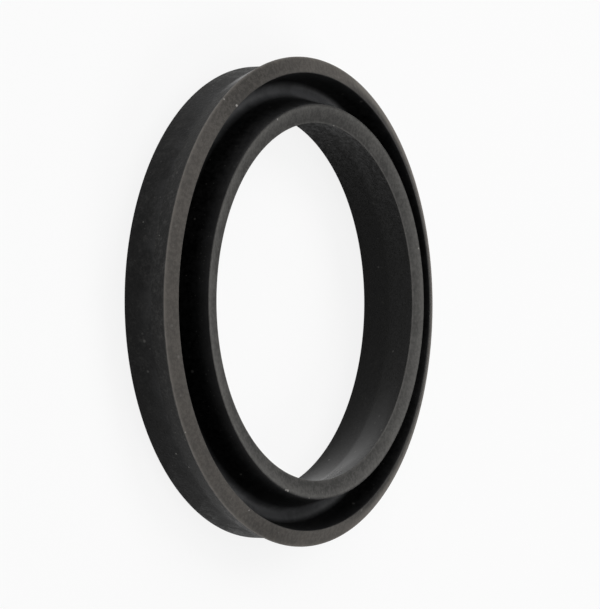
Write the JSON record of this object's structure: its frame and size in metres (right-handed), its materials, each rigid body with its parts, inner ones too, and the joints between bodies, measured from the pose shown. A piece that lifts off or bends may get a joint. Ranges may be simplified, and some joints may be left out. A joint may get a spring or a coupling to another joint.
{
  "type": "piston seal",
  "caption": "Moulded rubber U-cup seal ring with a solid heel, a flared outer sealing lip and a taller inner lip, for closing the gap between a piston and its cylinder.",
  "frame": {"origin": "centre of the ring on the plane of the heel's flat back face", "axes": "+Z along the ring's axis from the heel to the lips; X and Y are any two radial directions"},
  "size_m": [0.0516, 0.0516, 0.0074],
  "materials": {
    "seal_rubber": "satin moulded black, with paler matt trimmed lip ends"
  },
  "bodies": {
    "root": {"seal_ring": "seal_rubber"}
  },
  "joints": []
}
